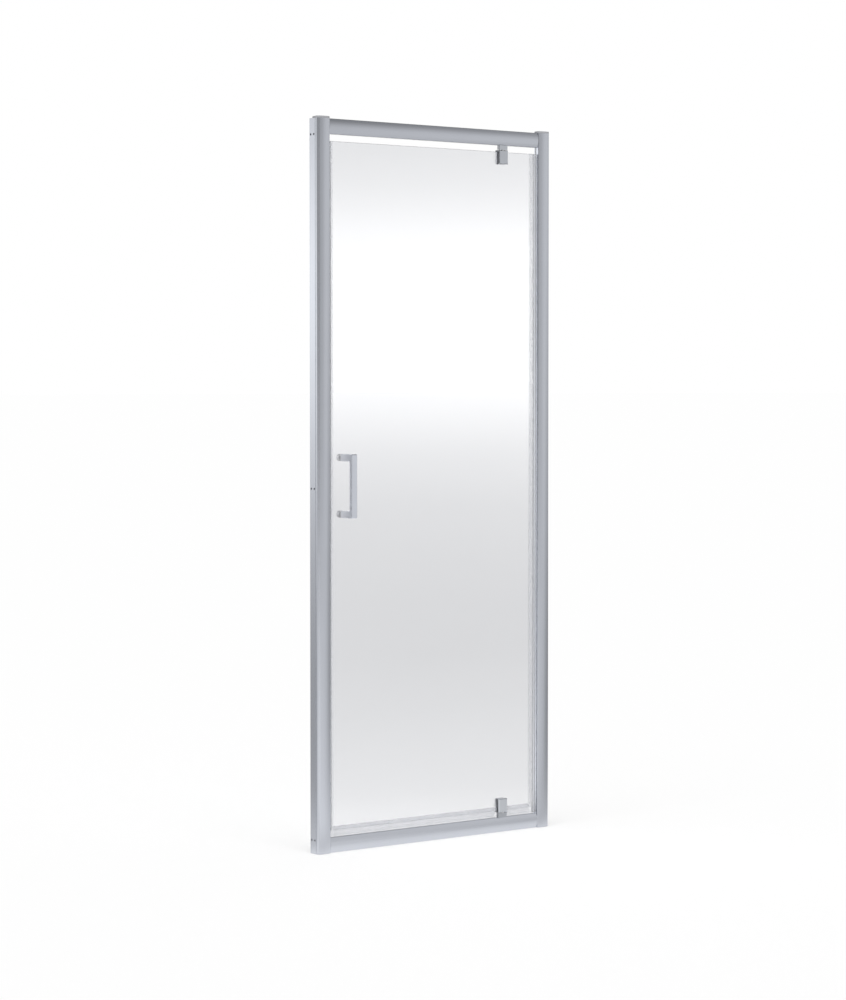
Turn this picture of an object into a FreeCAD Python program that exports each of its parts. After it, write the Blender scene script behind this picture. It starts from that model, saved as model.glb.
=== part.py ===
import FreeCAD, Part
import os

# Pivot shower door: a framed glass door that swings on two upright pivots.
# Millimetres. X runs along the door, Y from the outside (negative) to the inside, Z up.
# The origin is under the middle of the bottom rail, in the middle plane of the glass.

# Whole frame
frame_width = 760.0
frame_height = 1850.0
glass_setback = 14.5
slide_clearance = 0.2
seat_clearance = 0.05
running_clearance = 0.05
same_place = 0.01
overrun = 5.0

# Posts that nest in the wall channels
post_width = 39.5
post_depth = 35.5
post_wall = 1.6
post_bulge = 3.0
post_rounding = 2.5
wall_side_rounding = 8.0
cell_depth = 9.4
wall_relief = 0.5
side_lip = 0.85
leg_gap = 0.5
flange_inset = 7.0
slot_mouth = 5.0
slot_room = 7.0
slot_lip = 1.6
slot_depth = 3.0

# Wall channels
channel_web = 2.0
channel_wall = 1.6
channel_flange = 24.0
wall_hole_radius = 2.6
wall_hole_spacing = 13.0
wall_hole_foot = 34.5
wall_hole_drop = 40.5

# Caps on the posts
cap_thickness = 5.0
cap_side_inset = 3.5
cap_back_inset = 6.0
cap_bevel = 0.8
cap_plug_depth = 12.0
cap_plug_wall = 1.5

# Rails
rail_height = 38.5
rail_setback = 3.5
rail_bulge = 3.0
rail_wall = 1.6
rail_rounding = 1.0
port_radius = 1.9
port_wall = 2.2
port_inset = 7.5
port_mouth = 1.8

# Screws from the posts into the rails
rail_screw_length = 24.0
rail_screw_head_radius = 3.2
rail_screw_head_height = 2.4

# Screws and cover caps that lock the posts in the wall channels
fixing_screw_inset = 15.0
fixing_screw_end_inset = 120.0
fixing_screw_radius = 1.75
fixing_screw_length = 10.0
fixing_screw_head_radius = 3.4
fixing_screw_head_height = 2.2
cover_cap_radius = 6.0
cover_cap_height = 4.0
cover_cap_wall = 1.0
cover_cap_bevel = 1.0

# Glass pane
glass_thickness = 6.0
rail_gap = 17.0
hinge_edge_gap = 8.5
glass_corner_radius = 3.0
glass_arris = 0.6

# Closing edge: magnet strips on the post and on the door
holder_head = 3.2
magnet_gap = 0.5
magnet_width = 5.6
magnet_thickness = 1.8
magnet_end_inset = 6.0
holder_skin = 0.6
stop_gap = 0.6
stop_lip = 1.2
stop_reach = 9.0
seal_nose = 4.2
seal_wall = 1.1
seal_clearance = 0.1
magnet_seal_grip = 6.0

# Pivot edge seal and bottom drip seal
hinge_seal_grip = 14.0
fin_thickness = 0.9
fin_slant = 2.4
fin_gap = 0.7
drip_seal_grip = 10.0
drip_gap = 1.5
drip_spread = 0.8
seal_end_gap = 0.4

# Pivots
pivot_inset = 119.5
pin_radius = 2.0
pin_hold = 7.5
pin_end_gap = 0.6
bush_wall = 1.0
bush_length = 12.0
bush_flange_radius = 4.2
bush_flange_thickness = 0.8
bearing_gap = 0.3

# Hinge clamps
hinge_width = 29.5
hinge_height = 36.5
hinge_thickness = 9.0
hinge_proud = 4.0
hinge_lip_clearance = 0.5
hinge_bevel = 1.6
plate_inset = 2.75
plate_thickness = 5.0
plate_bevel = 1.2
gasket_thickness = 1.0
gasket_inset = 0.5
hinge_screw_drop = 24.0
hinge_screw_spacing = 13.0
hinge_screw_radius = 1.95
hinge_screw_head_radius = 3.4
hinge_screw_bite = 7.0
hinge_glass_hole_radius = 4.0
collar_clearance = 0.15

# Brackets on the rails
bracket_width = 28.0
bracket_depth = 9.5
bracket_setback = 1.5
bracket_rounding = 1.2
bracket_screw_spacing = 17.0
bracket_screw_offset = 3.1
bracket_screw_radius = 1.4
bracket_screw_head_radius = 2.7
bracket_screw_bite = 4.0

# Handle
handle_inset = 45.5
handle_height = 925.5
handle_pitch = 143.0
handle_width = 17.0
handle_leg = 18.0
handle_reach = 48.0
handle_bar = 10.0
handle_corner_radius = 2.5
handle_edge_radius = 1.0
handle_hole_radius = 6.0
stud_radius = 2.9
stud_bite = 14.0
knob_radius = 9.0
knob_length = 13.0
knob_rounding = 2.5
knob_bite = 8.0
grommet_flange = 1.0
grommet_rim = 0.5

# Places that follow from the sizes above
half_width = frame_width / 2
post_height = frame_height - cap_thickness
middle_height = post_height / 2
post_face = half_width - post_width
post_front = -glass_setback
post_back = post_front + post_depth
nose_left = wall_relief - half_width
partition_front = post_front + cell_depth
partition_back = partition_front + post_wall
lip_back = partition_back + side_lip
box_back = slot_room / 2 + post_wall
channel_front = lip_back + slide_clearance
channel_back = post_back
channel_middle = (channel_front + channel_back) / 2
leg_face = -half_width + channel_flange + leg_gap + post_wall
jamb_back = channel_back - channel_wall - slide_clearance
slot_floor = -post_face - slot_lip - slot_depth
pocket_floor = slot_floor - post_wall
rail_front = post_front + rail_setback
rail_back = box_back
port_heights = (port_inset, rail_height - port_inset)
glass_front = -glass_thickness / 2
glass_back = glass_thickness / 2
glass_low = rail_height + rail_gap
glass_high = post_height - glass_low
holder_face = -post_face + holder_head
seal_left = holder_face + magnet_gap
glass_left = seal_left + seal_nose + seal_clearance
glass_right = post_face - hinge_edge_gap
grip_room = glass_back + seal_clearance
grip_outside = grip_room + seal_wall
magnet_seal_end = glass_left + magnet_seal_grip
hinge_seal_start = glass_right - hinge_seal_grip
seal_foot = rail_height + drip_gap
pivot_x = post_face - pivot_inset
block_back = glass_front - gasket_thickness
block_front = block_back - hinge_thickness
pivot_y = (block_front + block_back) / 2
hinge_top = glass_high + hinge_proud
hinge_low = hinge_top - hinge_height
plate_front = glass_back + gasket_thickness
plate_back = plate_front + plate_thickness
bush_radius = pin_radius + running_clearance + bush_wall
bracket_low = hinge_top + bush_flange_thickness + bearing_gap
bracket_high = post_height - rail_height
bracket_front = block_front + bracket_setback
bracket_screw_y = pivot_y + bracket_screw_offset
handle_x = -post_face + handle_inset
handle_base = glass_front - grommet_flange
handle_front = handle_base - handle_reach
stud_heights = (handle_height - handle_pitch / 2, handle_height + handle_pitch / 2)
wall_hole_top = post_height - wall_hole_drop
wall_hole_heights = (wall_hole_foot, (wall_hole_foot + wall_hole_top) / 2, wall_hole_top)
fixing_screw_heights = (fixing_screw_end_inset, middle_height, post_height - fixing_screw_end_inset)

# Directions
along_x = FreeCAD.Vector(1, 0, 0)
along_y = FreeCAD.Vector(0, 1, 0)
along_z = FreeCAD.Vector(0, 0, 1)


def at(x, y, z):
    return FreeCAD.Vector(x, y, z)


def box(x_span, y_span, z_span):
    size = [high - low for low, high in (x_span, y_span, z_span)]
    return Part.makeBox(*size, at(x_span[0], y_span[0], z_span[0]))


def ring_wire(corners):
    """Closed wire of straight edges through the corners."""
    return Part.makePolygon(corners + corners[:1])


def upright(plan, low, high):
    """Straight extrusion of a plan outline of (x, y) corners."""
    wire = ring_wire([at(x, y, low) for x, y in plan])
    return Part.Face(wire).extrude(along_z * (high - low))


def lengthwise(section, left, right):
    """Straight extrusion of a side section of (y, z) corners along the door."""
    wire = ring_wire([at(left, y, z) for y, z in section])
    return Part.Face(wire).extrude(along_x * (right - left))


def bow_edge(half, bulge, front, inset):
    """Depth at which a bowed front, drawn in by an inset, meets its sides."""
    radius = (half ** 2 + bulge ** 2) / (2 * bulge)
    return front + radius - ((radius - inset) ** 2 - (half - inset) ** 2) ** 0.5


def bowed_bar(inset, corners, low, high):
    """Upright bar: the post's bowed front drawn in by an inset, then straight sides through the corners."""
    left, right = nose_left + inset, -post_face - inset
    edge = bow_edge((-post_face - nose_left) / 2, post_bulge, post_front, inset)
    start, end = at(left, edge, low), at(right, edge, low)
    bow = Part.Arc(start, at((left + right) / 2, post_front + inset, low), end).toShape()
    sides = Part.makePolygon([end] + [at(x, y, low) for x, y in corners] + [start])
    bar = Part.Face(Part.Wire([bow] + sides.Edges)).extrude(along_z * (high - low))
    for place, rounding in ((left, wall_side_rounding), (right, post_rounding)):
        rims = [line for line in edges_along(bar, along_z)
                if (line.CenterOfMass - at(place, edge, (low + high) / 2)).Length < same_place]
        bar = bar.makeFillet(rounding - inset, rims)
    return bar


def edges_along(shape, way):
    """Straight edges that run in one direction."""
    straight = [edge for edge in shape.Edges if isinstance(edge.Curve, Part.Line)]
    return [edge for edge in straight if edge.Curve.Direction.cross(way).Length < 1e-6]


def edges_on(shape, axis, place):
    """Edges that lie wholly at one place on an axis, 0 for X, 1 for Y and 2 for Z."""
    found = []
    for edge in shape.Edges:
        limits = edge.BoundBox
        low = (limits.XMin, limits.YMin, limits.ZMin)[axis]
        high = (limits.XMax, limits.YMax, limits.ZMax)[axis]
        if abs(low - place) < same_place and abs(high - place) < same_place:
            found.append(edge)
    return found


def drilled(shape, radius, starts, way, length):
    """The shape with a straight round hole from each starting point."""
    for start in starts:
        shape = shape.cut(Part.makeCylinder(radius, length, start, way))
    return shape


def pan_screw(seat, way, radius, length, head_radius, head_height):
    """Pan-headed screw with the underside of its head at the seat."""
    head = Part.makeCylinder(head_radius, head_height, seat, way * -1)
    outer = [edge for edge in head.Edges if (edge.CenterOfMass - seat).Length > head_height / 2]
    head = head.makeChamfer(head_height / 3, [edge for edge in outer if edge.isClosed()])
    shank = Part.makeCylinder(radius, length, seat, way)
    return head.fuse(shank).removeSplitter()


def flat_screw(face, way, radius, length, head_radius):
    """Countersunk screw whose head lies flush with the face."""
    head = Part.makeCone(head_radius, radius, head_radius - radius, face, way)
    shank = Part.makeCylinder(radius, length, face, way)
    return head.fuse(shank).removeSplitter()


def mirrored(shape):
    """The same piece on the other side of the door."""
    return shape.mirror(at(0, 0, 0), along_x)


def flipped(shape):
    """The same piece at the other end of the door, top for bottom."""
    return shape.mirror(at(0, 0, middle_height), along_z)


def wall_channel():
    plan = [
        (-half_width, channel_front),
        (-half_width + channel_flange, channel_front),
        (-half_width + channel_flange, channel_front + channel_wall),
        (-half_width + channel_web, channel_front + channel_wall),
        (-half_width + channel_web, channel_back - channel_wall),
        (-half_width + channel_flange, channel_back - channel_wall),
        (-half_width + channel_flange, channel_back),
        (-half_width, channel_back),
    ]
    rows = (channel_middle - wall_hole_spacing / 2, channel_middle + wall_hole_spacing / 2)
    holes = [at(-half_width - overrun, y, z) for y in rows for z in wall_hole_heights]
    channel = drilled(upright(plan, 0, post_height), wall_hole_radius, holes, along_x, overrun * 2)
    return drilled(channel, fixing_screw_radius + seat_clearance, fixing_starts(), along_y * -1, overrun * 2)


def fixing_starts():
    """Points behind the left post from which its fixing holes are drilled."""
    x = -half_width + fixing_screw_inset
    return [at(x, channel_back + overrun, z) for z in fixing_screw_heights]


def jamb():
    """Bowed post: one extrusion with a front cell, an edge strip slot and a leg in the wall channel."""
    corners = [
        (-post_face, -slot_mouth / 2),
        (-post_face - slot_lip, -slot_mouth / 2),
        (-post_face - slot_lip, -slot_room / 2),
        (slot_floor, -slot_room / 2),
        (slot_floor, slot_room / 2),
        (-post_face - slot_lip, slot_room / 2),
        (-post_face - slot_lip, slot_mouth / 2),
        (-post_face, slot_mouth / 2),
        (-post_face, box_back),
        (leg_face, box_back),
        (leg_face, jamb_back),
        (-half_width + flange_inset, jamb_back),
        (-half_width + flange_inset, jamb_back - post_wall),
        (leg_face - post_wall, jamb_back - post_wall),
        (leg_face - post_wall, slot_room / 2),
        (pocket_floor, slot_room / 2),
        (pocket_floor, partition_back),
        (nose_left + post_wall, partition_back),
        (nose_left + post_wall, lip_back),
        (nose_left, lip_back),
    ]
    post = bowed_bar(0, corners, 0, post_height)
    cell_back = [(-post_face - post_wall, partition_front), (nose_left + post_wall, partition_front)]
    post = post.cut(bowed_bar(post_wall, cell_back, 0, post_height))
    holes = [at(pocket_floor - overrun, 0, z) for z in rail_screw_heights()]
    post = drilled(post, port_radius + seat_clearance, holes, along_x, overrun * 2 + post_wall)
    return drilled(post, fixing_screw_radius + seat_clearance, fixing_starts(), along_y * -1, overrun * 2)


def rail_screw_heights():
    return [z for low in port_heights for z in (low, post_height - low)]


def jamb_cap():
    """Moulded cap with a hollow plug that fits in the post's front cell."""
    corners = [
        (-post_face, box_back),
        (leg_face, box_back),
        (leg_face, jamb_back - cap_back_inset),
        (-half_width + cap_side_inset, jamb_back - cap_back_inset),
        (-half_width + cap_side_inset, lip_back),
        (nose_left, lip_back),
    ]
    lid = bowed_bar(0, corners, post_height, frame_height)
    lid = lid.makeChamfer(cap_bevel, edges_on(lid, 2, frame_height))
    gap = post_wall + slide_clearance
    left, right, back = nose_left + gap, -post_face - gap, partition_front - slide_clearance
    foot = post_height - cap_plug_depth
    plug = bowed_bar(gap, [(right, back), (left, back)], foot, post_height)
    hollow = box((left + cap_plug_wall, right - cap_plug_wall),
                 (back - cap_plug_wall, back), (foot, post_height))
    return lid.fuse(plug.cut(hollow)).removeSplitter()


def rail_blank(inset):
    """Rail section with its convex front, drawn in all round by an inset."""
    half = rail_height / 2
    edge = bow_edge(half, rail_bulge, rail_front, inset)
    low, high = at(-post_face, edge, inset), at(-post_face, edge, rail_height - inset)
    front = Part.Arc(low, at(-post_face, rail_front + inset, half), high).toShape()
    back = rail_back - inset
    back_corners = [at(-post_face, back, rail_height - inset), at(-post_face, back, inset)]
    rest = Part.makePolygon([high] + back_corners + [low])
    return Part.Face(Part.Wire([front] + rest.Edges)).extrude(along_x * (post_face * 2))


def bottom_rail():
    """Hollow rail with two open screw ports along its back wall."""
    blank = rail_blank(0)
    blank = blank.makeFillet(rail_rounding, edges_along(blank, along_x))
    rail = blank.cut(rail_blank(rail_wall))
    length = post_face * 2
    for z in port_heights:
        start = at(-post_face, 0, z)
        port = Part.makeCylinder(port_radius + port_wall, length, start, along_x)
        rail = rail.fuse(port.common(blank))
        rail = rail.cut(Part.makeCylinder(port_radius, length, start, along_x))
        mouth = (-port_radius - port_wall * 2, 0)
        rail = rail.cut(box((-post_face, post_face), mouth, (z - port_mouth / 2, z + port_mouth / 2)))
    starts = [at(x, bracket_screw_y, rail_height + overrun) for x in bracket_screw_places()]
    return drilled(rail, bracket_screw_radius + seat_clearance, starts, along_z * -1, overrun * 2)


def rail_screws():
    """Self-tapping screws, two at each rail end, from behind the posts' slots into the rails' ports."""
    left = []
    for z in rail_screw_heights():
        seat = at(pocket_floor, 0, z)
        left.append(pan_screw(seat, along_x, port_radius - seat_clearance, rail_screw_length,
                              rail_screw_head_radius, rail_screw_head_height))
    return Part.makeCompound(left + [mirrored(screw) for screw in left])


def jamb_fixing_screws():
    left = []
    for start in fixing_starts():
        seat = at(start.x, channel_back, start.z)
        left.append(pan_screw(seat, along_y * -1, fixing_screw_radius, fixing_screw_length,
                              fixing_screw_head_radius, fixing_screw_head_height))
    return Part.makeCompound(left + [mirrored(screw) for screw in left])


def screw_cover_caps():
    """Snap-on caps: round shells that sit on the channel over each screw head."""
    left = []
    for start in fixing_starts():
        seat = at(start.x, channel_back, start.z)
        shell = Part.makeCylinder(cover_cap_radius, cover_cap_height, seat, along_y)
        shell = shell.makeChamfer(cover_cap_bevel, edges_on(shell, 1, channel_back + cover_cap_height))
        hollow = Part.makeCylinder(cover_cap_radius - cover_cap_wall, cover_cap_height - cover_cap_wall,
                                   seat, along_y)
        left.append(shell.cut(hollow))
    return Part.makeCompound(left + [mirrored(cap) for cap in left])


def slot_root():
    """Corners of an edge strip's root in the post's slot, from the front lip to the back one."""
    fit = seat_clearance
    return [
        (-post_face, -slot_mouth / 2 + fit),
        (-post_face - slot_lip - fit, -slot_mouth / 2 + fit),
        (-post_face - slot_lip - fit, -slot_room / 2 + fit),
        (slot_floor + fit, -slot_room / 2 + fit),
        (slot_floor + fit, slot_room / 2 - fit),
        (-post_face - slot_lip - fit, slot_room / 2 - fit),
        (-post_face - slot_lip - fit, slot_mouth / 2 - fit),
        (-post_face, slot_mouth / 2 - fit),
    ]


def jamb_magnet_bar(fit):
    """Magnet in the strip on the post, or the room for it when fit is its clearance."""
    face = holder_face - holder_skin
    ends = magnet_end_inset - fit
    return box((face - magnet_thickness - fit, face + fit), (-magnet_width / 2 - fit, magnet_width / 2 + fit),
               (rail_height + ends, post_height - rail_height - ends))


def jamb_magnet_holder():
    """Plastic strip on the closing post: slot root, magnet head, and a lip that stops the door."""
    stop_front = grip_outside + stop_gap
    plan = slot_root() + [
        (-post_face, stop_front + stop_lip),
        (-post_face + stop_reach, stop_front + stop_lip),
        (-post_face + stop_reach, stop_front),
        (holder_face, stop_front),
        (holder_face, -grip_outside),
        (-post_face, -grip_outside),
    ]
    strip = upright(plan, rail_height, post_height - rail_height)
    return strip.cut(jamb_magnet_bar(seat_clearance))


def jamb_slot_infill():
    """Strip that closes the unused slot of the pivot side's post, flush with its face."""
    return mirrored(upright(slot_root(), rail_height, post_height - rail_height))


def glass_panel():
    """Pane with rounded corners, ground edges, and holes for the handle and the hinges."""
    pane = box((glass_left, glass_right), (glass_front, glass_back), (glass_low, glass_high))
    pane = pane.makeFillet(glass_corner_radius, edges_along(pane, along_y))
    rims = edges_on(pane, 1, glass_front) + edges_on(pane, 1, glass_back)
    pane = pane.makeChamfer(glass_arris, rims)
    thickness = glass_thickness + overrun * 2
    handle_holes = [at(handle_x, glass_front - overrun, z) for z in stud_heights]
    pane = drilled(pane, handle_hole_radius, handle_holes, along_y, thickness)
    hinge_z = hinge_top - hinge_screw_drop
    hinge_holes = [at(x, glass_front - overrun, z)
                   for x in hinge_screw_places() for z in (hinge_z, post_height - hinge_z)]
    return drilled(pane, hinge_glass_hole_radius, hinge_holes, along_y, thickness)


def hinge_screw_places():
    return (pivot_x - hinge_screw_spacing / 2, pivot_x + hinge_screw_spacing / 2)


def bracket_screw_places():
    return (pivot_x - bracket_screw_spacing / 2, pivot_x + bracket_screw_spacing / 2)


def door_magnet_bar(fit):
    """Magnet in the door's closing seal, or the room for it when fit is its clearance."""
    face = seal_left + holder_skin
    ends = magnet_end_inset - fit
    return box((face - fit, face + magnet_thickness + fit), (-magnet_width / 2 - fit, magnet_width / 2 + fit),
               (glass_low + ends, glass_high - ends))


def door_magnet_seal():
    """Closing edge profile: a magnet nose and two legs that grip the glass."""
    plan = [
        (seal_left, -grip_outside),
        (magnet_seal_end, -grip_outside),
        (magnet_seal_end, -grip_room),
        (seal_left + seal_nose, -grip_room),
        (seal_left + seal_nose, grip_room),
        (magnet_seal_end, grip_room),
        (magnet_seal_end, grip_outside),
        (seal_left, grip_outside),
    ]
    return upright(plan, seal_foot, glass_high).cut(door_magnet_bar(seat_clearance))


def hinge_edge_seal():
    """Pivot edge profile: two legs on the glass and a soft slanted fin that nearly meets the post."""
    web_inside = glass_right + seal_clearance
    web_outside = web_inside + seal_wall
    tip = post_face - fin_gap
    plan = [
        (hinge_seal_start, -grip_outside),
        (web_outside, -grip_outside),
        (tip, -grip_outside + fin_slant),
        (tip, -grip_outside + fin_slant + fin_thickness),
        (web_outside, -grip_outside + fin_thickness + seal_wall),
        (web_outside, grip_outside),
        (hinge_seal_start, grip_outside),
        (hinge_seal_start, grip_room),
        (web_inside, grip_room),
        (web_inside, -grip_room),
        (hinge_seal_start, -grip_room),
    ]
    return upright(plan, seal_foot, glass_high)


def bottom_drip_seal():
    """Drip profile under the glass, with two spread fins over the rail, cut away at the hinge."""
    web_top = glass_low - seal_clearance
    web_low = web_top - seal_wall
    leg_top = glass_low + drip_seal_grip
    spread = grip_outside + drip_spread
    half = [
        (grip_outside, leg_top),
        (grip_outside, web_low),
        (spread, seal_foot),
        (spread - fin_thickness, seal_foot),
        (grip_outside - seal_wall, web_low),
    ]
    section = half + [(-y, z) for y, z in reversed(half)]
    section += [(-grip_room, leg_top), (-grip_room, web_top), (grip_room, web_top), (grip_room, leg_top)]
    clear = hinge_width / 2 + seal_end_gap
    long_run = lengthwise(section, magnet_seal_end + seal_end_gap, pivot_x - clear)
    short_run = lengthwise(section, pivot_x + clear, hinge_seal_start - seal_end_gap)
    return Part.makeCompound([long_run, short_run])


def hinge_span(inset):
    """Width of the hinge clamp, drawn in at both sides by an inset."""
    return (pivot_x - hinge_width / 2 + inset, pivot_x + hinge_width / 2 - inset)


def hinge_screw_points(y):
    return [at(x, y, hinge_top - hinge_screw_drop) for x in hinge_screw_places()]


def hinge_block():
    """Front half of the clamp: bevelled block with a lip over the glass edge and a bore for the bush."""
    block = box(hinge_span(0), (block_front, block_back), (hinge_low, hinge_top))
    block = block.makeChamfer(hinge_bevel, edges_on(block, 1, block_front))
    lip_low = glass_high + hinge_lip_clearance
    lip = box(hinge_span(0), (block_back, plate_front), (lip_low, hinge_top))
    block = block.fuse(lip).removeSplitter()
    mouth = at(pivot_x, pivot_y, hinge_top)
    block = block.cut(Part.makeCylinder(bush_radius + seat_clearance, bush_length, mouth, along_z * -1))
    starts = hinge_screw_points(block_back)
    depth = hinge_screw_bite + pin_end_gap
    return drilled(block, hinge_screw_radius + seat_clearance, starts, along_y * -1, depth)


def hinge_back_plate():
    """Back half of the clamp, a little narrower, bevelled, with two countersunk holes."""
    plate = box(hinge_span(plate_inset), (plate_front, plate_back), (hinge_low, hinge_top))
    plate = plate.makeChamfer(plate_bevel, edges_on(plate, 1, plate_back))
    for face in hinge_screw_points(plate_back):
        room = flat_screw(face, along_y * -1, hinge_screw_radius + seat_clearance,
                          plate_thickness, hinge_screw_head_radius + seat_clearance)
        plate = plate.cut(room)
    return plate


def hinge_gaskets():
    """Sheets on both faces of the glass, with collars that line its holes."""
    collar_length = glass_thickness / 2 - collar_clearance
    sheets = []
    back_inset = plate_inset + gasket_inset
    for face, way, inset in ((glass_front, along_y, gasket_inset), (glass_back, along_y * -1, back_inset)):
        outside = face - way.y * gasket_thickness
        y_span = (min(face, outside), max(face, outside))
        sheet = box(hinge_span(inset), y_span, (hinge_low + gasket_inset, glass_high - glass_arris))
        for point in hinge_screw_points(face):
            collar = Part.makeCylinder(hinge_glass_hole_radius - collar_clearance, collar_length, point, way)
            sheet = sheet.fuse(collar)
        starts = hinge_screw_points(outside)
        sheets.append(drilled(sheet, hinge_screw_radius + seat_clearance, starts, way, glass_thickness))
    return Part.makeCompound(sheets)


def hinge_screws():
    length = plate_back - block_back + hinge_screw_bite
    return Part.makeCompound([
        flat_screw(face, along_y * -1, hinge_screw_radius, length, hinge_screw_head_radius)
        for face in hinge_screw_points(plate_back)
    ])


def hinge_bush():
    """Flanged bush in the block: the pin turns in it and its flange carries the door."""
    foot = at(pivot_x, pivot_y, hinge_top - bush_length)
    sleeve = Part.makeCylinder(bush_radius, bush_length, foot, along_z)
    rim = at(pivot_x, pivot_y, hinge_top)
    flange = Part.makeCylinder(bush_flange_radius, bush_flange_thickness, rim, along_z)
    length = bush_length + bush_flange_thickness
    bore = Part.makeCylinder(pin_radius + running_clearance, length, foot, along_z)
    return sleeve.fuse(flange).cut(bore).removeSplitter()


def pivot_pin(fit):
    """Upright pin held by the bracket, or the room for it when fit is its clearance."""
    foot = hinge_top - bush_length + pin_end_gap
    length = bracket_low + pin_hold - foot
    return Part.makeCylinder(pin_radius + fit, length, at(pivot_x, pivot_y, foot), along_z)


def pivot_bracket():
    """Block under the rail that holds the pin, fixed by two screws whose heads lie flush."""
    width = (pivot_x - bracket_width / 2, pivot_x + bracket_width / 2)
    depth = (bracket_front, bracket_front + bracket_depth)
    bracket = box(width, depth, (bracket_low, bracket_high))
    bracket = bracket.makeFillet(bracket_rounding, edges_along(bracket, along_z))
    bracket = bracket.cut(pivot_pin(seat_clearance))
    for x in bracket_screw_places():
        room = flat_screw(at(x, bracket_screw_y, bracket_low), along_z, bracket_screw_radius + seat_clearance,
                          bracket_high - bracket_low, bracket_screw_head_radius + seat_clearance)
        bracket = bracket.cut(room)
    return bracket


def bracket_screws():
    length = bracket_high - bracket_low + rail_wall + bracket_screw_bite
    faces = [at(x, bracket_screw_y, bracket_low) for x in bracket_screw_places()]
    return Part.makeCompound([
        flat_screw(face, along_z, bracket_screw_radius, length, bracket_screw_head_radius) for face in faces
    ])


def pull_handle():
    """Square D handle: a bar between two legs, cut from one outline, with a blind hole in each leg."""
    low, high = stud_heights[0] - handle_leg / 2, stud_heights[1] + handle_leg / 2
    section = [
        (handle_base, low),
        (handle_front, low),
        (handle_front, high),
        (handle_base, high),
        (handle_base, high - handle_leg),
        (handle_front + handle_bar, high - handle_leg),
        (handle_front + handle_bar, low + handle_leg),
        (handle_base, low + handle_leg),
    ]
    left, right = handle_x - handle_width / 2, handle_x + handle_width / 2
    handle = lengthwise(section, left, right)
    across = edges_along(handle, along_x)
    corners = [edge for edge in across if edge.CenterOfMass.y < handle_front + handle_bar / 2]
    handle = handle.makeFillet(handle_corner_radius, corners)
    handle = handle.makeFillet(handle_edge_radius, edges_on(handle, 0, left) + edges_on(handle, 0, right))
    starts = [at(handle_x, handle_base, z) for z in stud_heights]
    return drilled(handle, stud_radius + seat_clearance, starts, along_y * -1, stud_bite + pin_end_gap)


def handle_grommets():
    """Top-hat washers on both faces of the glass, whose collars line the handle holes."""
    collar_length = glass_thickness / 2 - collar_clearance
    washers = []
    for z in stud_heights:
        for face, way in ((glass_front, along_y), (glass_back, along_y * -1)):
            seat = at(handle_x, face, z)
            flange = Part.makeCylinder(knob_radius - grommet_rim, grommet_flange, seat, way * -1)
            collar = Part.makeCylinder(handle_hole_radius - collar_clearance, collar_length, seat, way)
            start = seat - way * grommet_flange
            hole_radius = stud_radius + seat_clearance
            washers.append(drilled(flange.fuse(collar), hole_radius, [start], way, glass_thickness))
    return Part.makeCompound(washers)


def handle_studs():
    length = stud_bite + glass_thickness + grommet_flange * 2 + knob_bite
    starts = [at(handle_x, handle_base - stud_bite, z) for z in stud_heights]
    return Part.makeCompound([Part.makeCylinder(stud_radius, length, start, along_y) for start in starts])


def handle_inner_knobs():
    """Round nuts inside the door that draw the handle to the glass."""
    face = glass_back + grommet_flange
    knobs = []
    for z in stud_heights:
        knob = Part.makeCylinder(knob_radius, knob_length, at(handle_x, face, z), along_y)
        knob = knob.makeFillet(knob_rounding, edges_on(knob, 1, face + knob_length))
        start = at(handle_x, face, z)
        knobs.append(drilled(knob, stud_radius + seat_clearance, [start], along_y, knob_bite + pin_end_gap))
    return Part.makeCompound(knobs)


pieces = {
    "rail_screws": rail_screws(),
    "jamb_fixing_screws": jamb_fixing_screws(),
    "screw_cover_caps": screw_cover_caps(),
    "jamb_magnet_holder": jamb_magnet_holder(),
    "jamb_magnet_strip": jamb_magnet_bar(0),
    "jamb_slot_infill": jamb_slot_infill(),
    "glass_panel": glass_panel(),
    "door_magnet_seal": door_magnet_seal(),
    "door_magnet_strip": door_magnet_bar(0),
    "hinge_edge_seal": hinge_edge_seal(),
    "bottom_drip_seal": bottom_drip_seal(),
    "pull_handle": pull_handle(),
    "handle_grommets": handle_grommets(),
    "handle_studs": handle_studs(),
    "handle_inner_knobs": handle_inner_knobs(),
}
for name, make in (("wall_channel", wall_channel), ("jamb", jamb), ("jamb_cap", jamb_cap)):
    pieces[name + "_left"] = make()
    pieces[name + "_right"] = mirrored(pieces[name + "_left"])
for name, make in (
    ("hinge_block", hinge_block),
    ("hinge_back_plate", hinge_back_plate),
    ("hinge_gaskets", hinge_gaskets),
    ("hinge_screws", hinge_screws),
    ("hinge_bush", hinge_bush),
    ("pivot_bracket", pivot_bracket),
    ("bracket_screws", bracket_screws),
):
    pieces["top_" + name] = make()
    pieces["bottom_" + name] = flipped(pieces["top_" + name])
pieces["top_pivot_pin"] = pivot_pin(0)
pieces["bottom_pivot_pin"] = flipped(pieces["top_pivot_pin"])
pieces["bottom_rail"] = bottom_rail()
pieces["top_rail"] = flipped(pieces["bottom_rail"])

os.makedirs("parts", exist_ok=True)
for name, shape in pieces.items():
    shape.exportStep(os.path.join("parts", name + ".step"))
    print(f"{name}: {len(shape.Solids)} solids, {shape.Volume:.1f} mm3, valid {shape.isValid()}")
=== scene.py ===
import math

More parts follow.
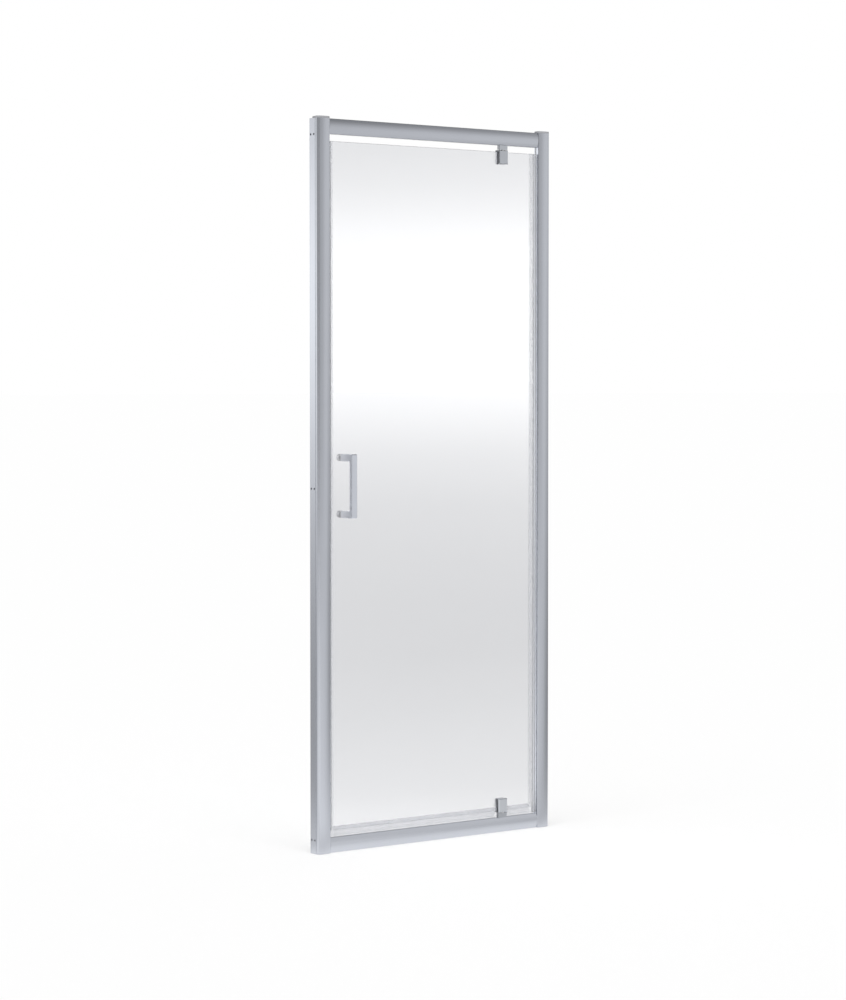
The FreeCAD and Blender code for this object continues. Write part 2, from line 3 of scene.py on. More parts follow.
import bmesh
import bpy
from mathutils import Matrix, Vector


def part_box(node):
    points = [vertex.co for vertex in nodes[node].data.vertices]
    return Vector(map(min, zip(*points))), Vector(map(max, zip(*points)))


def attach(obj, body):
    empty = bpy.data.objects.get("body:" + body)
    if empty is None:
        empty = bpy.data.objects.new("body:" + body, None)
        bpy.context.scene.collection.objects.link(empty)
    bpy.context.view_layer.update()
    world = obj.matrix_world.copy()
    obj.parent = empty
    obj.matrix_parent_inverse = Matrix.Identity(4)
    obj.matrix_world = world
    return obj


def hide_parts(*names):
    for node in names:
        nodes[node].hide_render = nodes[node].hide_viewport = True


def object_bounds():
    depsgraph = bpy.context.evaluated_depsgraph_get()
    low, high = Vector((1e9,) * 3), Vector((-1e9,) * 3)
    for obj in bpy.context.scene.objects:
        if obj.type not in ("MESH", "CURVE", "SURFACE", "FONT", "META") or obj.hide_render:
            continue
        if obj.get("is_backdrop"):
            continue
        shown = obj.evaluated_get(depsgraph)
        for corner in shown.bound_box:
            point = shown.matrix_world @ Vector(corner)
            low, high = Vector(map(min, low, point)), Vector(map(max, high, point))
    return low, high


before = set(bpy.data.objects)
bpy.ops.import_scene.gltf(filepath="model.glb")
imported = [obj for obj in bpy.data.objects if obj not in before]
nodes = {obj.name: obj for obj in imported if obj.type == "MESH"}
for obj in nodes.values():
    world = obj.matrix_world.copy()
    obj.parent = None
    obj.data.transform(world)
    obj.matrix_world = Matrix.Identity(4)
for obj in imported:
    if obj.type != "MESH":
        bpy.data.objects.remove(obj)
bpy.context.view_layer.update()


# Wall channels
# U-shaped aluminium extrusions that are screwed to the wall on each side of the opening.
# They are drawn through a die, then etched and satin anodised, so faint draw lines run up them.
class Socket:
    """An output of a shader node: sums on it add Math nodes, and node() adds any other node to its tree."""

    def __init__(self, output):
        self.output = output
        self.tree = output.id_data

    def node(self, kind, settings, sockets, out=0):
        made = self.tree.nodes.new("ShaderNode" + kind)
        for name, value in settings.items():
            if name == "stops":
                self.set_stops(made.color_ramp, value)
            else:
                setattr(made, name, value)
        for name, value in sockets.items():
            if isinstance(value, Socket):
                self.tree.links.new(value.output, made.inputs[name])
            else:
                made.inputs[name].default_value = value
        return Socket(made.outputs[out])

    def set_stops(self, ramp, stops):
        while len(ramp.elements) < len(stops):
            ramp.elements.new(1.0)
        for element, (position, level) in zip(ramp.elements, stops):
            element.position = position
            element.color = (level, level, level, 1.0)

    def feed(self, shader, name):
        self.tree.links.new(self.output, shader.inputs[name])

    def maths(self, operation, *values):
        return self.node("Math", {"operation": operation}, dict(enumerate(values)))

    def __add__(self, other):
        return self.maths("ADD", self, other)

    def __sub__(self, other):
        return self.maths("SUBTRACT", self, other)

    def __rsub__(self, other):
        return self.maths("SUBTRACT", other, self)

    def __mul__(self, other):
        return self.maths("MULTIPLY", self, other)

    def __gt__(self, other):
        return self.maths("GREATER_THAN", self, other)

    def __abs__(self):
        return self.maths("ABSOLUTE", self)

    def blend(self, low, high):
        """Colour that goes from low to high as this value goes from 0 to 1."""
        return self.node("Mix", {"data_type": "RGBA"}, {0: self, 6: low, 7: high}, out=2)

    __radd__ = __add__
    __rmul__ = __mul__


def object_place(tree):
    """The Object coordinates in a material's tree."""
    return Socket(tree.nodes.new("ShaderNodeTexCoord").outputs["Object"])


def new_finish(name, **constants):
    """A material, the Object coordinates in it, and its surface shader with the constants set."""
    material = bpy.data.materials.new(name)
    material.use_nodes = True
    surface = material.node_tree.nodes["Principled BSDF"]
    for socket, value in constants.items():
        surface.inputs[socket.replace("_", " ")].default_value = value
    return material, object_place(material.node_tree), surface


def noise(place, scale, detail, **more):
    """Unevenness from 0 to 1, with about as many spots to the metre as the scale says."""
    return place.node("TexNoise", {}, {"Vector": place, "Scale": scale, "Detail": detail, **more})


def drawn_lines(place, stretch, detail, **more):
    """Lines along an extrusion: noise that is stretched along it."""
    along = place.node("Mapping", {}, {"Vector": place, "Scale": stretch})
    return noise(along, scale=1.0, detail=detail, **more)


def soft_edge(place, radius, **bump):
    """Normals rounded over the sharp edges, with a fine relief on top."""
    rounded = place.node("Bevel", {"samples": 4}, {"Radius": radius})
    return place.node("Bump", {}, {"Normal": rounded, **bump})


aluminium_tones = (0.52, 0.54, 0.59, 1.0), (0.60, 0.62, 0.672, 1.0)
lines_across = 1400.0
lines_along = 5.0


def satin_aluminium(name, stretch):
    """Anodised aluminium with draw lines, a slight cloud of tone and an etched grain."""
    material, place, surface = new_finish(name, Metallic=1.0)
    lines = drawn_lines(place, stretch, detail=4.0, Roughness=0.65)
    cloud = noise(place, scale=9.0, detail=3.0)
    grain = noise(place, scale=2600.0, detail=1.0)
    tone = lines * 0.6 + cloud * 0.4
    tone.blend(*aluminium_tones).feed(surface, "Base Color")
    (0.2 + lines * 0.06 + grain * 0.05).feed(surface, "Roughness")
    relief = lines * 0.7 + grain * 0.3
    soft_edge(place, radius=0.0004, Strength=0.25, Distance=0.00002, Height=relief).feed(surface, "Normal")
    return material


def dress(material, *names):
    """Give a finish to CAD nodes."""
    for name in names:
        nodes[name].material_slots[0].material = material


upright_aluminium = satin_aluminium("satin_aluminium_upright", (lines_across, lines_across, lines_along))
dress(upright_aluminium, "wall_channel_left", "wall_channel_right")


# Posts
# Hollow aluminium extrusions with a bowed front, which nest in the wall channels and carry the rails.
# Same alloy and satin anodising as the channels, with the draw lines running up.
dress(upright_aluminium, "jamb_left", "jamb_right")


# Post caps and cover caps
# Grey mouldings: lids that plug into the posts' tops, and round caps that snap over the fixing screws.
# Injection moulded with a fine spark-eroded texture.
cap_tones = (0.34, 0.345, 0.365, 1.0), (0.42, 0.425, 0.445, 1.0)


def moulded_grey(name):
    material, place, surface = new_finish(name, IOR=1.5)
    pits = noise(place, scale=3200.0, detail=2.0)
    cloud = noise(place, scale=60.0, detail=2.0)
    tone = pits * 0.5 + cloud * 0.5
    tone.blend(*cap_tones).feed(surface, "Base Color")
    (0.38 + pits * 0.18).feed(surface, "Roughness")
    soft_edge(place, radius=0.0003, Strength=0.35, Distance=0.00003, Height=pits).feed(surface, "Normal")
    return material


dress(moulded_grey("moulded_grey"), "jamb_cap_left", "jamb_cap_right", "screw_cover_caps")


# Rails
# Hollow aluminium extrusions with a bowed front, cut square and screwed between the posts.
# Same alloy and anodising as the posts, with the draw lines running along the door.
level_aluminium = satin_aluminium("satin_aluminium_level", (lines_along, lines_across, lines_across))
dress(level_aluminium, "top_rail", "bottom_rail")


# Screws of the frame
# Stainless self-tapping screws: posts to rails, posts to wall channels, brackets to rails.
# They are cold headed and rolled, and left bright, like the pivot pins and the handle's studs.
steel_tones = (0.50, 0.50, 0.51, 1.0), (0.66, 0.66, 0.67, 1.0)


def bright_steel(name):
    material, place, surface = new_finish(name, Metallic=1.0)
    scratches = noise(place, scale=1800.0, detail=3.0)
    scratches.blend(*steel_tones).feed(surface, "Base Color")
    (0.22 + scratches * 0.15).feed(surface, "Roughness")
    soft_edge(place, radius=0.0002, Strength=0.3, Distance=0.00002, Height=scratches).feed(surface, "Normal")
    return material


steel = bright_steel("bright_steel")
dress(steel, "rail_screws", "jamb_fixing_screws", "top_bracket_screws", "bottom_bracket_screws")
dress(steel, "top_pivot_pin", "bottom_pivot_pin", "handle_studs")


# Closing strip and slot infill on the posts
# Extruded translucent PVC pushed into the posts' slots. The closing one holds a magnet and stops the door.
# Extrusion leaves faint lines along it and a slight haze in it.
pvc_lines_up = (900.0, 900.0, 8.0)
pvc_tones = (0.80, 0.81, 0.85, 1.0), (0.84, 0.85, 0.89, 1.0)
pvc_body = 0.2
milky_tones = (0.62, 0.63, 0.66, 1.0), (0.68, 0.69, 0.72, 1.0)
milky_body = 0.8
web_tone = (0.36, 0.37, 0.39, 1.0)
web_body = 0.5
web_reach = 0.0009


def part_along(vector, axis):
    """One coordinate of a vector."""
    return vector.node("SeparateXYZ", {}, {"Vector": vector}, out=axis)


def clear_pvc(name, stretch, tones, body, web_place=None):
    """Translucent extrusion, denser where an upright web at that place in x is seen through its depth."""
    material, place, surface = new_finish(name, IOR=1.45)
    lines = drawn_lines(place, stretch, detail=2.0)
    haze = noise(place, scale=35.0, detail=3.0)
    colour = haze.blend(*tones)
    opacity = body + haze * 0.03
    if web_place is not None:
        dense = 1 - (abs(part_along(place, "X") - web_place) > web_reach)
        colour = dense.blend(colour, web_tone)
        opacity = opacity + dense * web_body
    colour.feed(surface, "Base Color")
    (0.18 + lines * 0.14).feed(surface, "Roughness")
    opacity.feed(surface, "Alpha")
    soft_edge(place, radius=0.0003, Strength=0.2, Distance=0.00003, Height=lines).feed(surface, "Normal")
    return material


upright_pvc = clear_pvc("clear_pvc_upright", pvc_lines_up, pvc_tones, pvc_body)
dress(upright_pvc, "jamb_magnet_holder", "door_magnet_seal")
dress(clear_pvc("milky_pvc", pvc_lines_up, milky_tones, milky_body), "jamb_slot_infill")


# Magnet strips
# Flexible magnet strips in a pale vinyl skin, slid into the closing strips and showing faintly through them.
# Rolled and slit, so their surface is dull and finely speckled.
magnet_tones = (0.82, 0.825, 0.85, 1.0), (0.90, 0.905, 0.93, 1.0)


def skinned_magnet(name):
    material, place, surface = new_finish(name, IOR=1.5)
    speck = noise(place, scale=2400.0, detail=4.0)
    speck.blend(*magnet_tones).feed(surface, "Base Color")
    (0.55 + speck * 0.25).feed(surface, "Roughness")
    return material


dress(skinned_magnet("skinned_magnet"), "jamb_magnet_strip", "door_magnet_strip")


# Pivot brackets, hinge clamps and handle
# Zinc castings, ground and polished, then plated with bright chrome.
# The brackets are screwed to the rails, and the clamps and the handle hold the glass between two halves.
handle_faces = (0.61, 0.635, 0.70, 1.0), (0.68, 0.705, 0.77, 1.0)
# Painted light: the handle's sides are painted lighter than its faces.
handle_painted_side_light = (0.79, 0.805, 0.85, 1.0), (0.87, 0.885, 0.93, 1.0)
# Painted light: the knobs' plating is painted paler than the handle's, standing in for the light they catch
# behind the glass.
knob_painted_light_tones = (0.90, 0.905, 0.92, 1.0), (0.96, 0.965, 0.98, 1.0)
# Painted shade: the brackets' sides are painted darker than their faces.
bracket_painted_side_shade = (0.38, 0.39, 0.41, 1.0), (0.42, 0.43, 0.45, 1.0)
clamp_faces = (0.46, 0.48, 0.515, 1.0), (0.52, 0.54, 0.575, 1.0)
# Painted shade: the clamps' sides are painted darker than their faces.
clamp_painted_side_shade = (0.17, 0.175, 0.19, 1.0), (0.22, 0.225, 0.24, 1.0)
# Painted reflection: the bottom clamp's faces are lighter than the top clamp's.
low_clamp_painted_reflection = (0.62, 0.645, 0.69, 1.0), (0.70, 0.725, 0.77, 1.0)
polish = 0.07
turned_finish = 0.45
side_limit = 0.9


def outward(place):
    """The direction that the surface faces, from the same node as its Object coordinates."""
    return Socket(place.output.node.outputs["Normal"])


def bright_chrome(name, face_tones, sides_painted_tones, dullness=polish):
    """Polished plating on the faces, and duller sides that the polishing wheel has not reached. The sides'
    own tones are painted light or painted shade, set by each caller.
    """
    material, place, surface = new_finish(name, Metallic=1.0)
    sides = abs(part_along(outward(place), "X")) > side_limit
    swirl = noise(place, scale=220.0, detail=5.0, Distortion=1.5)
    cloud = noise(place, scale=28.0, detail=2.0)
    faces = cloud.blend(*face_tones)
    # The sides' tones here are painted light or painted shade, not a different plating.
    sides.blend(faces, cloud.blend(*sides_painted_tones)).feed(surface, "Base Color")
    (dullness + swirl * 0.07 + sides * 0.3).feed(surface, "Roughness")
    soft_edge(place, radius=0.0004, Strength=0.06, Distance=0.00002, Height=swirl).feed(surface, "Normal")
    return material


handle_chrome = bright_chrome("handle_chrome", handle_faces, handle_painted_side_light)
dress(handle_chrome, "pull_handle", "top_hinge_back_plate", "bottom_hinge_back_plate")
# The glass neither mirrors the handle nor takes its shadow, so that its outline stays clean.
nodes["pull_handle"].visible_glossy = False
nodes["pull_handle"].visible_shadow = False
# The knobs' pale tones are painted light.
dress(bright_chrome("knob_chrome", knob_painted_light_tones, knob_painted_light_tones, dullness=turned_finish), "handle_inner_knobs")
bracket_chrome = bright_chrome("bracket_chrome", clamp_faces, bracket_painted_side_shade)
dress(bracket_chrome, "top_pivot_bracket", "bottom_pivot_bracket")
dress(bright_chrome("clamp_chrome", clamp_faces, clamp_painted_side_shade), "top_hinge_block")
# The bottom clamp's faces are painted lighter than the top clamp's, a painted reflection of the pale surfaces
# close to it.
dress(bright_chrome("low_clamp_chrome", low_clamp_painted_reflection, clamp_painted_side_shade), "bottom_hinge_block")


# Hinge screws
# Countersunk steel screws with hexagon sockets, two in each clamp, which draw its halves onto the glass.
# The head is turned, the socket is punched, and the shank runs through the glass into the front block.
head_radius = 0.0034
head_rim = 0.0002
shank_radius = 0.00195
screw_length = 0.020
socket_radius = 0.00145
socket_depth = 0.0016
screw_rounding = 0.0001
screw_crease = 35
margin = 0.0001


def pick_edges(piece, test):
    """In edit mode, select only the edges whose two ends pass the test."""
    bpy.ops.mesh.select_mode(type="EDGE")
    bpy.ops.mesh.select_all(action="DESELECT")
    shape = bmesh.from_edit_mesh(piece.data)
    for edge in shape.edges:
        if all(test(corner.co) for corner in edge.verts):
            edge.select_set(True)
    bmesh.update_edit_mesh(piece.data)


def draw_edges(*steps):
    """Extrude the selected edges once for each step of (x, y, z)."""
    for step in steps:
        bpy.ops.mesh.extrude_edges_move(TRANSFORM_OT_translate={"value": step})


def round_edges(piece, width, crease):
    """Bevel the edges of a finished piece that are sharper than the crease, and smooth its curved faces."""
    bpy.ops.object.mode_set(mode="OBJECT")
    edge = piece.modifiers.new("edge", "BEVEL")
    edge.width = width
    edge.segments = 2
    edge.angle_limit = math.radians(crease)
    bpy.ops.object.modifier_apply(modifier="edge")
    bpy.ops.object.shade_smooth_by_angle(angle=math.radians(crease))


bpy.ops.object.select_all(action="DESELECT")
bpy.ops.mesh.primitive_circle_add(vertices=36, radius=head_radius)
screw = bpy.context.object
bpy.ops.object.mode_set(mode="EDIT")
draw_edges((0.0, 0.0, -head_rim), (0.0, 0.0, shank_radius - head_radius + head_rim))
narrow = shank_radius / head_radius
bpy.ops.transform.resize(value=(narrow, narrow, 1.0), center_override=(0.0, 0.0, 0.0))
draw_edges((0.0, 0.0, head_radius - shank_radius - screw_length))
bpy.ops.mesh.edge_face_add()
bpy.ops.mesh.primitive_circle_add(vertices=6, radius=socket_radius)
pick_edges(screw, lambda corner: corner.z > -margin)
bpy.ops.mesh.bridge_edge_loops()
pick_edges(screw, lambda corner: corner.z > -margin and corner.xy.length < socket_radius + margin)
draw_edges((0.0, 0.0, -socket_depth))
bpy.ops.mesh.edge_face_add()
bpy.ops.mesh.select_all(action="SELECT")
bpy.ops.mesh.normals_make_consistent(inside=False)
round_edges(screw, screw_rounding, screw_crease)
screw.data.materials.append(steel)

for node in ("top_hinge_screws", "bottom_hinge_screws"):
    low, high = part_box(node)
    bpy.ops.object.select_all(action="DESELECT")
    for x in (low[0] + head_radius, high[0] - head_radius):
        copy = screw.copy()
        copy.data = screw.data.copy()
        bpy.context.collection.objects.link(copy)
        copy.location = (x, high[1], (low[2] + high[2]) / 2)
        copy.rotation_euler = (math.radians(-90), 0.0, 0.0)
        copy.select_set(True)
    bpy.context.view_layer.objects.active = copy
    bpy.ops.object.join()
    bpy.ops.object.transform_apply()
    pair = bpy.context.object
    pair.name = node.replace("hinge_screws", "socket_screws")
    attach(pair, "door")
    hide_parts(node)
bpy.data.objects.remove(screw)


# Bushes and gaskets
# White nylon bushes that the pins turn in, and soft grey and clear washers between metal and glass.
# Turned from bar and stamped from sheet, with a dull, finely pitted surface.
nylon_tones = (0.80, 0.80, 0.78, 1.0), (0.88, 0.88, 0.86, 1.0)
washer_tones = (0.62, 0.63, 0.65, 1.0), (0.70, 0.71, 0.73, 1.0)


def pitted_plastic(name, tones):
    material, place, surface = new_finish(name, IOR=1.45)
    pits = noise(place, scale=1500.0, detail=2.0)
    pits.blend(*tones).feed(surface, "Base Color")
    (0.35 + pits * 0.2).feed(surface, "Roughness")
    soft_edge(place, radius=0.0002, Strength=0.2, Distance=0.00002, Height=pits).feed(surface, "Normal")
    return material


dress(pitted_plastic("white_nylon", nylon_tones), "top_hinge_bush", "bottom_hinge_bush")
dress(pitted_plastic("grey_washer", washer_tones), "handle_grommets")
dress(upright_pvc, "top_hinge_gaskets", "bottom_hinge_gaskets")


# Glass pane
# 6 mm clear float glass, cut, drilled, ground at the edges and then toughened.
# Toughening on rollers leaves a very slight wave, and the ground edges are dull and look green.
glass_tones = (0.685, 0.69, 0.708, 1.0), (0.70, 0.705, 0.722, 1.0)
edge_green = (0.42, 0.60, 0.53, 1.0)
edge_dullness = 0.25
face_limit = 0.5


def toughened_glass(name):
    material, place, surface = new_finish(
        name, IOR=1.5, Transmission_Weight=1.0, Coat_Weight=1.0, Coat_Roughness=0.06)
    wave = noise(place, scale=3.0, detail=1.0)
    edge = 1 - (abs(part_along(outward(place), "Y")) > face_limit)
    edge.blend(wave.blend(*glass_tones), edge_green).feed(surface, "Base Color")
    (edge * edge_dullness).feed(surface, "Roughness")
    place.node("Bump", {}, {"Strength": 0.05, "Distance": 0.0002, "Height": wave}).feed(surface, "Normal")
    return material


dress(toughened_glass("toughened_glass"), "glass_panel")
# Light goes through the pane, so it casts no shadow.
nodes["glass_panel"].visible_shadow = False


# Pivot edge seal
# Clear PVC extrusion pushed over the glass edge beside the pivots, as tall as the pane.
# Two legs grip the glass, and a soft curved fin closes the gap to the post.
seal_wall = 0.0009
seal_off_glass = 0.0001
seal_rounding = 0.00015
seal_crease = 40
pivot_fin = [(0.0014, -0.0002), (0.0015, 0.0002), (0.0014, 0.0006), (0.0012, 0.0009), (0.0009, 0.001)]


def standing_sheet(name, low, high, depth):
    """Flat upright sheet across the door from the low to the high corner in x and z, left in edit mode."""
    middle = ((low[0] + high[0]) / 2, depth, (low[1] + high[1]) / 2)
    bpy.ops.object.select_all(action="DESELECT")
    bpy.ops.mesh.primitive_plane_add(size=1.0, location=middle, rotation=(math.radians(90), 0.0, 0.0))
    sheet = bpy.context.object
    sheet.name = name
    sheet.scale = (high[0] - low[0], high[1] - low[1], 1.0)
    bpy.ops.object.transform_apply()
    bpy.ops.object.mode_set(mode="EDIT")
    return sheet


def give_wall(sheet, thickness):
    """Turn the drawn sheets into one wall of even thickness, with rounded rims."""
    bpy.ops.object.mode_set(mode="OBJECT")
    wall = sheet.modifiers.new("wall", "SOLIDIFY")
    wall.solidify_mode = "NON_MANIFOLD"
    wall.nonmanifold_thickness_mode = "EVEN"
    wall.nonmanifold_boundary_mode = "FLAT"
    wall.thickness = thickness
    wall.offset = 0.0
    bpy.ops.object.modifier_apply(modifier="wall")
    round_edges(sheet, seal_rounding, seal_crease)


glass_low, glass_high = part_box("glass_panel")
low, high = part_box("hinge_edge_seal")
leg = glass_low[1] - seal_off_glass - seal_wall / 2
web = glass_high[0] + seal_off_glass + seal_wall / 2
seal = standing_sheet("pivot_edge_seal", (low[0], low[2]), (web, high[2]), leg)
pick_edges(seal, lambda corner: corner.x > web - margin)
draw_edges((0.0, -2 * leg, 0.0), (low[0] - web, 0.0, 0.0))
pick_edges(seal, lambda corner: corner.x > web - margin and corner.y < 0.0)
draw_edges(*[(out, back, 0.0) for out, back in pivot_fin])
give_wall(seal, seal_wall)
seal.data.materials.append(clear_pvc("pivot_pvc", pvc_lines_up, pvc_tones, pvc_body, web_place=web))
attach(seal, "door")
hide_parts("hinge_edge_seal")


# Drip seal
# Clear PVC extrusion pushed up under the glass, in two runs with the bottom clamp between them.
# Two legs grip the glass, and two soft curved fins sweep the top of the bottom rail.
drip_lines = (8.0, 900.0, 900.0)
drip_tones = (0.73, 0.74, 0.78, 1.0), (0.77, 0.78, 0.82, 1.0)
drip_body = 0.28
clamp_gap = 0.0004
drip_fin = [(0.0005, 0.2), (0.0004, 0.21), (0.0002, 0.21), (0.0, 0.2), (-0.0001, 0.18)]
low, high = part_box("bottom_drip_seal")
clamp_low, clamp_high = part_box("bottom_hinge_block")
web = glass_low[2] - seal_off_glass - seal_wall / 2
runs = []
for name, left, right in (("drip_seal", low[0], clamp_low[0] - clamp_gap),
                          ("drip_seal_end", clamp_high[0] + clamp_gap, high[0])):
    run = standing_sheet(name, (left, web), (right, high[2]), leg)
    pick_edges(run, lambda corner: corner.z < web + margin)
    draw_edges((0.0, -2 * leg, 0.0), (0.0, 0.0, high[2] - web))
    for way in (-1, 1):
        pick_edges(run, lambda corner: abs(corner.z - web) < margin and corner.y * way > 0.0)
        draw_edges(*[(0.0, way * out, down * (low[2] - web)) for out, down in drip_fin])
    give_wall(run, seal_wall)
    runs.append(run)
bpy.ops.object.select_all(action="DESELECT")
for run in runs:
    run.select_set(True)
bpy.context.view_layer.objects.active = runs[0]
bpy.ops.object.join()
drip = bpy.context.object
drip.data.materials.append(clear_pvc("clear_pvc_level", drip_lines, drip_tones, drip_body))
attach(drip, "door")
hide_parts("bottom_drip_seal")


# Floor
# A wide pale sheet of paper under the door, drawn out so far that no edge of it shows.
# It shows as white to the camera, to metal and through glass, and keeps the door's shadow.
floor_size = 600.0
floor_drop = -0.001
floor_paint = (0.99, 0.99, 0.99, 1.0)
floor_glow_share = 0.5


def view_rays(tree):
    """1 for the rays that the camera, metal and glass see by, and 0 for those that light the object."""
    path = tree.nodes.new("ShaderNodeLightPath")
    camera = Socket(path.outputs["Is Camera Ray"])
    mirror = Socket(path.outputs["Is Glossy Ray"])
    through = Socket(path.outputs["Is Transmission Ray"])
    return camera.maths("MAXIMUM", camera.maths("MAXIMUM", camera, mirror), through)


def stage_material(name):
    """A material with an empty tree, the tree, and the output in it."""
    material = bpy.data.materials.new(name)
    material.use_nodes = True
    tree = material.node_tree
    tree.nodes.clear()
    return material, tree, tree.nodes.new("ShaderNodeOutputMaterial")


bpy.ops.object.select_all(action="DESELECT")
bpy.ops.mesh.primitive_plane_add(size=floor_size, location=(0.0, 0.0, floor_drop))
floor = bpy.context.object
floor.name = "floor"
material, tree, surface = stage_material("floor_white")
seen = view_rays(tree)
paint = seen.node("BsdfDiffuse", {}, {"Color": floor_paint})
glow = seen.node("Emission", {}, {"Strength": 1.0})
seen.node("MixShader", {}, {0: seen * floor_glow_share, 1: paint, 2: glow}).feed(surface, "Surface")
floor.data.materials.append(material)
floor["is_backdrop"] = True


# Grey studio
# A round floor and a dome of painted boards round the door, which only reflections see.
# The boards are grey on the left and paler on the right, with one darker wall there and a bright band behind.
studio_radius = 6.0
studio_drop = -0.0006
floor_tone = 0.6
floor_shine = (-0.3, -0.44, 0.0)
floor_oval = (0.3, 1.0, 0.0)
near_glow = 0.17
sill_glow = 0.33
side_way = (0.954, -0.301, 0.0)
back_way = (-0.617, 0.787, 0.0)
back_glow = 1.12
wall_stops = [(0.0, 0.43), (0.5, 0.43), (0.6, 0.5), (0.8, 0.86), (0.9, 0.92), (1.0, 0.86)]
rise_stops = [(0.0, 1.0), (0.4, 1.0), (0.5, 0.82), (0.65, 0.52), (0.75, 0.34), (0.85, 0.24), (1.0, 0.2)]
band_stops = [(0.0, 0.05), (0.05, 0.12), (0.1, 0.3), (0.16, 0.58), (0.21, 0.87), (0.26, 1.0), (0.3, 1.0),
              (0.38, 0.57), (0.45, 0.35), (0.6, 0.1)]


def soft_step(value, start, end, top=1.0):
    """0 below start and top above end, with a smooth rise between them."""
    limits = {"Value": value, "From Min": start, "From Max": end, "To Max": top}
    return value.node("MapRange", {"interpolation_type": "SMOOTHSTEP"}, limits)


def levels(value, stops):
    """Grey level along a row of stops."""
    return value.node("ValToRGB", {"stops": stops}, {"Fac": value})


def facing(way, direction):
    """How far a way points in a direction."""
    return way.node("VectorMath", {"operation": "DOT_PRODUCT"}, {0: way, 1: direction}, out="Value")


def way_out(place):
    """The way from the middle of the studio to a place in it."""
    return place.node("VectorMath", {"operation": "NORMALIZE"}, {0: place})


def side_shade(way):
    """Share of light that the dark side wall takes, on the right and a little to the front."""
    return soft_step(facing(way, side_way), 0.88, 0.985, top=0.4)


def shine(surface, colour, strength=1.0):
    """Make a stage surface shine with a colour that changes over it, and give back its light."""
    light = colour.node("Emission", {}, {"Color": colour, "Strength": strength})
    light.feed(surface, "Surface")
    return light


def reflection_only(card, sampling="NONE"):
    """Leave a studio card to reflections, so that it neither shows nor shades."""
    card.data.materials[0].cycles.emission_sampling = sampling
    card.visible_camera = False
    card.visible_diffuse = False
    card.visible_transmission = False
    card.visible_shadow = False
    card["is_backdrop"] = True


bpy.ops.object.select_all(action="DESELECT")
bpy.ops.mesh.primitive_circle_add(
    vertices=96, radius=studio_radius, fill_type="NGON", location=(0.0, 0.0, studio_drop))
disc = bpy.context.object
disc.name = "studio_floor"
material, tree, surface = stage_material("studio_floor")
place = object_place(tree)
way = way_out(place)
spread = place.node("VectorMath", {"operation": "MULTIPLY"}, {0: place, 1: floor_oval})
away = spread.node("VectorMath", {"operation": "LENGTH"}, {0: spread}, out="Value")
near = 1 - soft_step(away, 0.0, 1.2)
far = soft_step(away, 0.0, 0.6)
outer = soft_step(away, 0.3, 1.5)
sill = 1 - soft_step(abs(part_along(place, "Y")), 0.0, 0.16)
boards = (floor_tone + facing(way, floor_shine) * far) * (1 - side_shade(way) * outer)
shine(surface, boards + near * near_glow + sill * sill_glow)
disc.data.materials.append(material)
reflection_only(disc)

bpy.ops.object.select_all(action="DESELECT")
bpy.ops.mesh.primitive_uv_sphere_add(segments=64, ring_count=64, radius=studio_radius)
dome = bpy.context.object
dome.name = "studio_dome"
material, tree, surface = stage_material("studio_dome")
way = way_out(object_place(tree))
height = part_along(way, "Z")
wall = levels(part_along(way, "X") * 0.5 + 0.5, wall_stops)
raised = soft_step(height, -0.02, 0.14)
walls = raised * wall * levels(height, rise_stops) + (1 - raised) * (floor_tone + facing(way, floor_shine))
back_light = soft_step(facing(way, back_way), 0.5, 0.95)
shine(surface, walls * (1 - side_shade(way)) + back_light * levels(height, band_stops) * back_glow)
dome.data.materials.append(material)
reflection_only(dome)


# Soft panels
# Lamps behind frosted sheets, each of which shines on one piece alone and is seen only as its reflection.
# Two give the glass its pale band and its lighter foot, and one lights the inner face of the right post.
pane_stops = [(0.0, 0.0), (0.05, 0.0), (0.13, 0.05), (0.215, 0.14), (0.3, 0.38), (0.38, 0.8), (0.42, 1.0),
              (0.62, 1.0), (0.67, 0.86), (0.71, 0.64), (0.75, 0.45), (0.8, 0.3), (0.88, 0.18), (1.0, 0.1)]
foot_stops = [(0.0, 0.0), (0.39, 0.2), (0.82, 0.66), (0.92, 1.0), (0.94, 1.0), (1.0, 0.0)]
post_stops = [(0.0, 1.0), (0.07, 1.0), (0.18, 0.71), (0.32, 0.54), (0.46, 0.54), (0.59, 0.4), (0.72, 0.16),
              (1.0, 0.16)]
even_share = 0.7


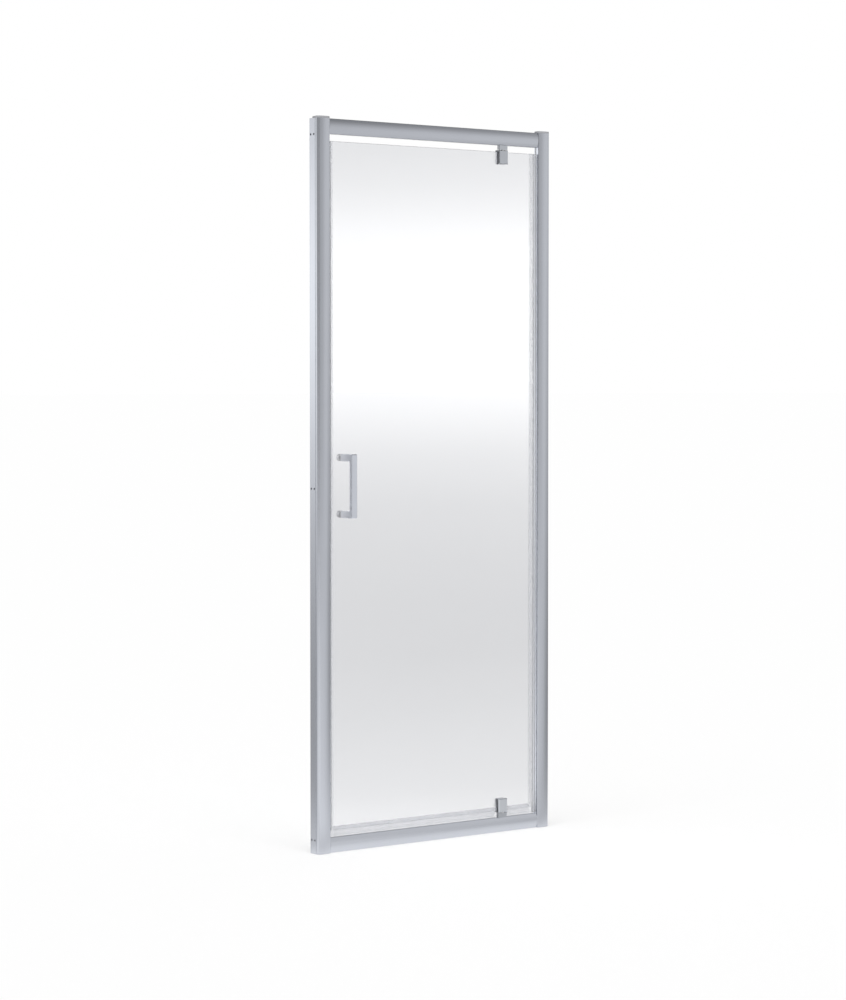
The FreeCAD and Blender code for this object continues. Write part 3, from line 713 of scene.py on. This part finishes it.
def soft_panel(name, lit_node, stops, strength, place, turn, size):
    """A panel with levels along its height and soft ends, turned about x and z, for one node alone."""
    turned = (math.radians(turn[0]), 0.0, math.radians(turn[1]))
    bpy.ops.object.select_all(action="DESELECT")
    bpy.ops.mesh.primitive_plane_add(size=1.0, location=place, rotation=turned)
    panel = bpy.context.object
    panel.name = name
    panel.scale = (*size, 1.0)
    bpy.ops.object.transform_apply(location=False, rotation=False, scale=True)
    material, tree, surface = stage_material(name)
    inside = object_place(tree)
    level = levels(part_along(inside, "Y") * (1 / size[1]) + 0.5, stops)
    ends = soft_step(abs(part_along(inside, "X")) * (2 / size[0]), even_share, 1.0)
    light = shine(surface, level * (1 - ends), strength)
    clear = light.node("BsdfTransparent", {}, {})
    light.node("AddShader", {}, {0: clear, 1: light}).feed(surface, "Surface")
    panel.data.materials.append(material)
    reflection_only(panel, sampling="FRONT_BACK")
    lit = bpy.data.collections.new("lit_by_" + name)
    lit.objects.link(nodes[lit_node])
    panel.light_linking.receiver_collection = lit


soft_panel("pane_panel", "glass_panel", pane_stops, strength=3.8,
           place=(3.08, -4.0, 1.4), turn=(90, 37), size=(3.2, 2.6))
soft_panel("foot_panel", "glass_panel", foot_stops, strength=1.75,
           place=(1.3, -2.0, 0.001), turn=(0, 0), size=(5.0, 4.0))
soft_panel("post_panel", "jamb_right", post_stops, strength=2.25,
           place=(0.075, 0.35, 0.95), turn=(90, 38), size=(0.34, 1.9))


# Sky and sun
# An even sky lights the door, and the camera, metal and glass see it as plain white.
# A wide, soft sun from the front left gives the door its form and its shadow.
sky_strength = 0.57
sky_white = (1.0, 1.0, 1.0, 1.0)
sun_turn = (math.radians(32), 0.0, math.radians(-40))
sun_strength = 2.0
sun_width = math.radians(50)
world = bpy.data.worlds.new("white_room")
bpy.context.scene.world = world
world.use_nodes = True
tree = world.node_tree
tree.nodes.clear()
seen = view_rays(tree)
ambient = seen.node("Background", {}, {"Strength": sky_strength})
white = seen.node("Background", {}, {"Color": sky_white, "Strength": 1.0})
surface = tree.nodes.new("ShaderNodeOutputWorld")
seen.node("MixShader", {}, {0: seen, 1: ambient, 2: white}).feed(surface, "Surface")

bpy.ops.object.light_add(type="SUN", rotation=sun_turn)
sun = bpy.context.object.data
sun.energy = sun_strength
sun.angle = sun_width


# Camera
# It stands 1.2 m above the floor and about seven metres off, towards the handle side.
# Its lens is long, so that the door's upright lines stay nearly parallel.
camera_place = (-4.5468, -5.7956, 1.1799)
camera_dip = 2.312
camera_turn = -37.887
bpy.ops.object.camera_add(
    location=camera_place, rotation=(math.radians(90 - camera_dip), 0.0, math.radians(camera_turn)))
camera = bpy.context.object
camera.data.sensor_width = 36.0
camera.data.lens = 102.636
bpy.context.scene.camera = camera
bpy.context.scene.view_settings.view_transform = "Standard"

low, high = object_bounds()
